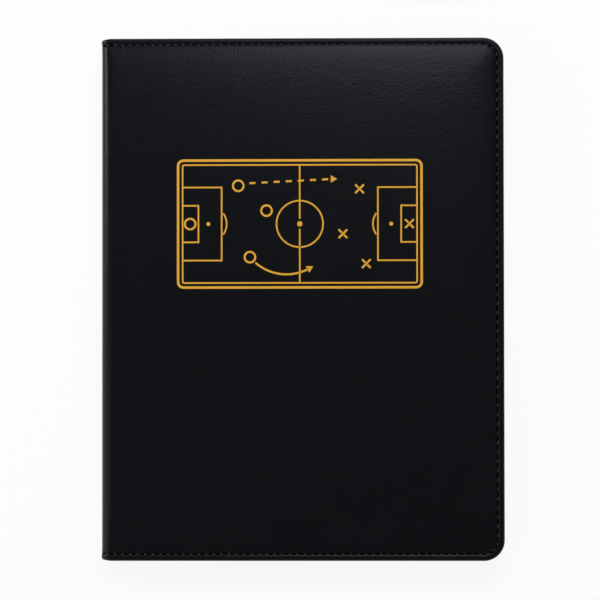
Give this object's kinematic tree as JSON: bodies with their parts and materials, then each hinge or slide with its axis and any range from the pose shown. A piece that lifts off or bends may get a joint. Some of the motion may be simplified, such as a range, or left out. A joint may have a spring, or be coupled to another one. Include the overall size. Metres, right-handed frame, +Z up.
{
  "type": "tactics board folder",
  "caption": "Padded leatherette folder that opens flat to a magnetic football pitch board with sliding player magnets, a writing pad in a pocket and a marker in a loop.",
  "frame": {"origin": "under the middle of the closed folder, on the surface that its back cover lies on", "axes": "+Z up through the closed folder, +Y towards the head of the cover, +X away from the spine"},
  "size_m": [0.242, 0.315, 0.023],
  "materials": {
    "black_leatherette": "grained, semi-matt",
    "wadding": "soft foam",
    "chipboard": "raw grey board",
    "black_lining": "fine woven lining",
    "grey_thread": "twisted thread",
    "bare_steel": "tin-plated sheet",
    "printed_film": "wipe-clean print",
    "elastic": "ribbed elastic",
    "blue_plastic": "moulded",
    "red_plastic": "moulded",
    "white_plastic": "moulded",
    "grey_card": "smooth card",
    "writing_paper": "uncoated",
    "black_tape": "cloth tape",
    "black_plastic": "moulded",
    "barrel_plastic": "moulded",
    "felt": "dense felt"
  },
  "bodies": {
    "back": {"back_cover_skin": "black_leatherette", "back_cover_foam": "wadding", "back_cover_board": "chipboard", "back_cover_lining": "black_lining", "back_cover_stitching": "grey_thread", "steel_sheet": "bare_steel", "pitch_film": "printed_film", "board_border": "black_leatherette", "pen_loop": "elastic"},
    "spine": {"spine_skin": "black_leatherette", "spine_board": "chipboard", "spine_lining": "black_lining"},
    "front": {"front_cover_skin": "black_leatherette", "front_cover_foam": "wadding", "front_cover_board": "chipboard", "front_cover_lining": "black_lining", "front_cover_stitching": "grey_thread", "pad_pocket": "black_leatherette"},
    "pad": {"pad_backing": "grey_card", "pad_sheets": "writing_paper", "pad_head_tape": "black_tape"},
    "marker": {"marker_barrel": "barrel_plastic", "marker_nib": "felt", "marker_ink_core": "felt", "marker_end_plug": "black_plastic"},
    "cap": {"marker_cap": "black_plastic", "marker_eraser": "felt"},
    "home_01": {"home_magnet_01": "blue_plastic"},
    "home_02": {"home_magnet_02": "blue_plastic"},
    "home_03": {"home_magnet_03": "blue_plastic"},
    "home_04": {"home_magnet_04": "blue_plastic"},
    "home_05": {"home_magnet_05": "blue_plastic"},
    "home_06": {"home_magnet_06": "blue_plastic"},
    "home_07": {"home_magnet_07": "blue_plastic"},
    "home_08": {"home_magnet_08": "blue_plastic"},
    "home_09": {"home_magnet_09": "blue_plastic"},
    "home_10": {"home_magnet_10": "blue_plastic"},
    "home_11": {"home_magnet_11": "blue_plastic"},
    "away_01": {"away_magnet_01": "red_plastic"},
    "away_02": {"away_magnet_02": "red_plastic"},
    "away_03": {"away_magnet_03": "red_plastic"},
    "away_04": {"away_magnet_04": "red_plastic"},
    "away_05": {"away_magnet_05": "red_plastic"},
    "away_06": {"away_magnet_06": "red_plastic"},
    "away_07": {"away_magnet_07": "red_plastic"},
    "away_08": {"away_magnet_08": "red_plastic"},
    "away_09": {"away_magnet_09": "red_plastic"},
    "away_10": {"away_magnet_10": "red_plastic"},
    "away_11": {"away_magnet_11": "red_plastic"},
    "ball": {"ball_magnet": "white_plastic"}
  },
  "joints": [
    {"name": "back_crease", "type": "hinge", "parent": "back", "child": "spine", "pos_m": [-0.11983, 0, 0.00277], "axis": [0, -1, 0], "range_deg": [0, 90]},
    {"name": "front_crease", "type": "hinge", "parent": "spine", "child": "front", "pos_m": [-0.11983, 0, 0.02023], "axis": [0, -1, 0], "range_deg": [0, 90]},
    {"name": "pad_slide", "type": "slide", "parent": "front", "child": "pad", "axis": [0, 1, 0], "range_m": [0, 0.095]},
    {"name": "marker_slide", "type": "slide", "parent": "back", "child": "marker", "axis": [0, 1, 0], "range_m": [0, 0.075]},
    {"name": "cap_pull", "type": "slide", "parent": "marker", "child": "cap", "axis": [0, 1, 0], "range_m": [0, 0.03]},
    {"name": "slide_home_01", "type": "slide", "parent": "back", "child": "home_01", "axis": [0, 1, 0], "range_m": [-0.006, 0.0575]},
    {"name": "slide_home_02", "type": "slide", "parent": "back", "child": "home_02", "axis": [0, 1, 0], "range_m": [-0.0405, 0.0095]},
    {"name": "slide_home_03", "type": "slide", "parent": "back", "child": "home_03", "axis": [0, 1, 0], "range_m": [-0.0405, 0.0095]},
    {"name": "slide_home_04", "type": "slide", "parent": "back", "child": "home_04", "axis": [0, 1, 0], "range_m": [-0.0405, 0.0095]},
    {"name": "slide_home_05", "type": "slide", "parent": "back", "child": "home_05", "axis": [0, 1, 0], "range_m": [-0.0405, 0.0095]},
    {"name": "slide_home_06", "type": "slide", "parent": "back", "child": "home_06", "axis": [0, 1, 0], "range_m": [-0.0095, 0.0685]},
    {"name": "slide_home_07", "type": "slide", "parent": "back", "child": "home_07", "axis": [0, 1, 0], "range_m": [-0.0095, 0.0095]},
    {"name": "slide_home_08", "type": "slide", "parent": "back", "child": "home_08", "axis": [0, 1, 0], "range_m": [-0.0095, 0.0095]},
    {"name": "slide_home_09", "type": "slide", "parent": "back", "child": "home_09", "axis": [0, 1, 0], "range_m": [-0.0095, 0.0685]},
    {"name": "slide_home_10", "type": "slide", "parent": "back", "child": "home_10", "axis": [0, 1, 0], "range_m": [-0.0095, 0.051]},
    {"name": "slide_home_11", "type": "slide", "parent": "back", "child": "home_11", "axis": [0, 1, 0], "range_m": [-0.0095, 0.051]},
    {"name": "slide_away_01", "type": "slide", "parent": "back", "child": "away_01", "axis": [0, 1, 0], "range_m": [-0.027, 0.006]},
    {"name": "slide_away_02", "type": "slide", "parent": "back", "child": "away_02", "axis": [0, 1, 0], "range_m": [-0.0685, 0.0405]},
    {"name": "slide_away_03", "type": "slide", "parent": "back", "child": "away_03", "axis": [0, 1, 0], "range_m": [-0.051, 0.0405]},
    {"name": "slide_away_04", "type": "slide", "parent": "back", "child": "away_04", "axis": [0, 1, 0], "range_m": [-0.051, 0.0405]},
    {"name": "slide_away_05", "type": "slide", "parent": "back", "child": "away_05", "axis": [0, 1, 0], "range_m": [-0.0685, 0.0405]},
    {"name": "slide_away_06", "type": "slide", "parent": "back", "child": "away_06", "axis": [0, 1, 0], "range_m": [-0.0095, 0.075]},
    {"name": "slide_away_07", "type": "slide", "parent": "back", "child": "away_07", "axis": [0, 1, 0], "range_m": [-0.0095, 0.027]},
    {"name": "slide_away_08", "type": "slide", "parent": "back", "child": "away_08", "axis": [0, 1, 0], "range_m": [-0.0095, 0.075]},
    {"name": "slide_away_09", "type": "slide", "parent": "back", "child": "away_09", "axis": [0, 1, 0], "range_m": [-0.158, 0.0095]},
    {"name": "slide_away_10", "type": "slide", "parent": "back", "child": "away_10", "axis": [0, 1, 0], "range_m": [-0.0055, 0.0095]},
    {"name": "slide_away_11", "type": "slide", "parent": "back", "child": "away_11", "axis": [0, 1, 0], "range_m": [-0.158, 0.0095]},
    {"name": "slide_ball", "type": "slide", "parent": "back", "child": "ball", "axis": [0, 1, 0], "range_m": [-0.0575, 0.0055]}
  ]
}
